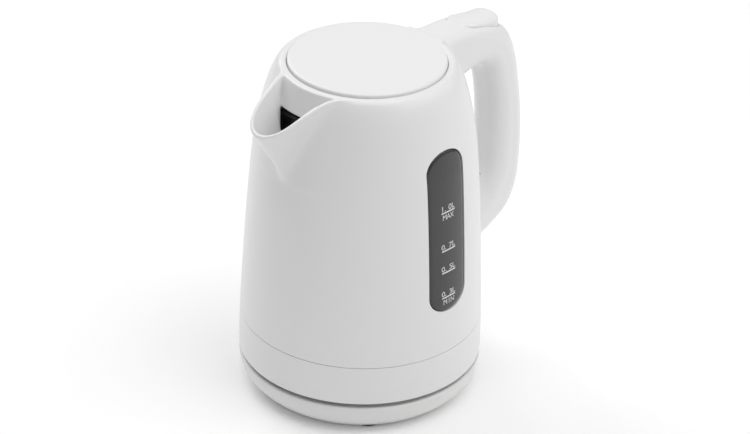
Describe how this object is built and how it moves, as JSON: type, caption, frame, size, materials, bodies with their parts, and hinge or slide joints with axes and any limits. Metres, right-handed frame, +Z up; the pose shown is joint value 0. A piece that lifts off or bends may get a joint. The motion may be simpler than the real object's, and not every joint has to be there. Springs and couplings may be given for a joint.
{
  "type": "electric kettle",
  "caption": "White cordless electric kettle with pouring beak, arch handle, hinged lid, release button and side water-level window, standing on a round power base.",
  "frame": {"origin": "on the kettle's vertical axis, at the table under the power base", "axes": "+Z up along the kettle's axis, the pouring beak points to -Y, the handle to +Y, the water-level window to +X"},
  "size_m": [0.14, 0.2082, 0.2043],
  "materials": {
    "white_gloss_plastic": "smooth glossy white moulding",
    "base_plastic": "smooth white moulding, slightly satin",
    "black_plastic": "matte black moulding",
    "filter_steel": "fine woven steel mesh in shade",
    "smoked_window": "smoky translucent plastic, polished",
    "amber_lens": "clear amber plastic lens",
    "silicone": "translucent white silicone",
    "foot_rubber": "matte dark rubber",
    "steel": "bright stainless steel",
    "aluminium": "plain aluminium sheet",
    "brass": "bright brass"
  },
  "bodies": {
    "power_base": {"base_cover": "base_plastic", "base_bottom_plate": "base_plastic", "base_socket": "base_plastic", "centre_contact": "brass", "ring_contact": "brass", "cord_gland": "black_plastic", "base_foot_1": "foot_rubber", "base_foot_2": "foot_rubber", "base_foot_3": "foot_rubber", "base_foot_4": "foot_rubber", "base_screw_1": "steel", "base_screw_2": "steel", "base_screw_3": "steel"},
    "connector": {"connector_housing": "white_gloss_plastic", "connector_pin": "brass", "connector_ring": "brass"},
    "jug": {"body_shell": "white_gloss_plastic", "lower_collar": "white_gloss_plastic", "level_window": "smoked_window", "window_gasket": "silicone", "plate_seal": "silicone", "heating_plate": "steel", "heat_spreader": "aluminium", "plate_clamp": "black_plastic", "heating_element": "steel", "control_block": "black_plastic", "dry_boil_disc_left": "brass", "dry_boil_disc_right": "brass", "element_terminal_left": "brass", "element_terminal_right": "brass", "steam_tube": "white_gloss_plastic", "bottom_cover": "white_gloss_plastic", "bottom_screw_1": "steel", "bottom_screw_2": "steel", "bottom_screw_3": "steel", "spout_filter_frame": "black_plastic", "spout_filter_mesh": "filter_steel", "handle_shell": "white_gloss_plastic", "handle_grip_cover": "white_gloss_plastic", "handle_screw": "steel", "button_spring": "steel", "lid_hinge_pin": "steel", "switch_pin": "steel"},
    "lid": {"lid_cap": "white_gloss_plastic", "lid_pan": "white_gloss_plastic", "lid_gasket": "silicone", "lid_catch": "black_plastic"},
    "button": {"release_button": "white_gloss_plastic"},
    "latch": {"latch_slider": "black_plastic"},
    "switch": {"switch_rocker": "white_gloss_plastic", "switch_lens": "amber_lens"},
    "trip": {"trip_rod": "white_gloss_plastic"}
  },
  "joints": [
    {"name": "jug_lift", "type": "slide", "parent": "power_base", "child": "connector", "axis": [0, 0, 1], "range_m": [0, 0.1]},
    {"name": "jug_swivel", "type": "hinge", "parent": "connector", "child": "jug", "pos_m": [0, 0, 0.03], "axis": [0, 0, 1], "continuous": true},
    {"name": "lid_hinge", "type": "hinge", "parent": "jug", "child": "lid", "pos_m": [0, 0.0459, 0.2003], "axis": [-1, 0, 0], "range_deg": [0, 75]},
    {"name": "button_press", "type": "slide", "parent": "jug", "child": "button", "axis": [0, 0, -1], "range_m": [0, 0.0025], "stiffness_N_per_m": 400, "springref_m": -0.003, "deforming": ["button_spring"]},
    {"name": "latch_slide", "type": "slide", "parent": "jug", "child": "latch", "axis": [0, 1, 0], "range_m": [0, 0.0025]},
    {"name": "switch_rock", "type": "hinge", "parent": "jug", "child": "switch", "pos_m": [0, 0.063, 0.034], "axis": [-1, 0, 0], "range_deg": [0, 12]},
    {"name": "trip_slide", "type": "slide", "parent": "jug", "child": "trip", "axis": [0, 0, 1], "range_m": [0, 0.0017]}
  ],
  "couplings": [
    {"joint": "latch_slide", "follows": "button_press", "ratio": 1},
    {"joint": "trip_slide", "follows": "switch_rock", "m_per_rad": 0.008}
  ]
}
